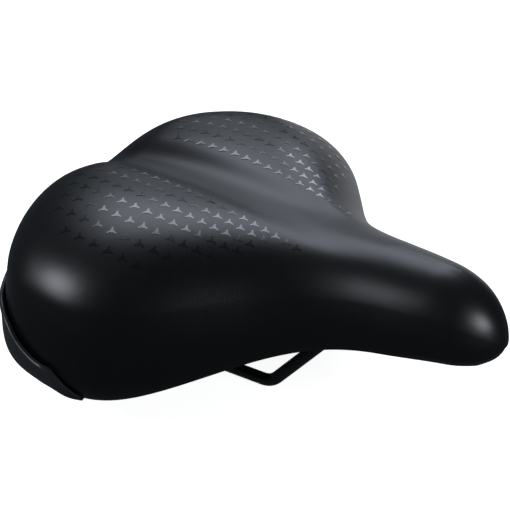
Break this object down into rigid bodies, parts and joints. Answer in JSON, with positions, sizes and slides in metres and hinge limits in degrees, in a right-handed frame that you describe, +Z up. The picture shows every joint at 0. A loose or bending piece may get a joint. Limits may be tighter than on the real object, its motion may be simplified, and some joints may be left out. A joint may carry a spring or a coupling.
{
  "type": "bicycle saddle",
  "caption": "Wide comfort saddle: padded top with a central channel and printed lobes, rear guard, bent wire rail, and a top that tips down on two rear elastomer springs.",
  "frame": {"origin": "middle of the seatpost clamp's zone, between the centre lines of the rail's two straights", "axes": "+X to the nose, +Y to the rider's left, +Z up"},
  "size_m": [0.2771, 0.256, 0.109],
  "materials": {
    "cover_skin": "matte, very fine grain",
    "foam": "moulded foam",
    "shell_plastic": "fine texture",
    "bumper_plastic": "hard, satin",
    "rail_paint": "satin black",
    "yoke_paint": "satin black",
    "elastomer": "moulded rubber",
    "seat_plastic": "moulded",
    "fixings": "zinc plated",
    "staple_wire": "galvanised wire"
  },
  "bodies": {
    "rail_frame": {"rail": "rail_paint", "rear_yoke": "yoke_paint", "yoke_strap_left": "yoke_paint", "yoke_strap_right": "yoke_paint", "yoke_strap_screws": "fixings", "yoke_strap_nuts": "fixings", "lower_seat_left": "seat_plastic", "lower_seat_right": "seat_plastic", "elastomer_left": "elastomer", "elastomer_right": "elastomer"},
    "saddle_top": {"cover": "cover_skin", "foam_pad": "foam", "base_shell": "shell_plastic", "rear_bumper": "bumper_plastic", "bumper_screws": "fixings", "cover_staples": "staple_wire", "nose_keeper": "shell_plastic", "nose_keeper_screws": "fixings", "upper_seat_left": "seat_plastic", "upper_seat_right": "seat_plastic", "spring_bolts": "fixings", "spring_washers": "fixings"}
  },
  "joints": [
    {"name": "spring_tip", "type": "hinge", "parent": "rail_frame", "child": "saddle_top", "pos_m": [0.122, 0, 0.057], "axis": [0, -1, 0], "range_deg": [0, 1.6], "stiffness_Nm_per_rad": 3000, "deforming": ["elastomer_left", "elastomer_right"]}
  ]
}
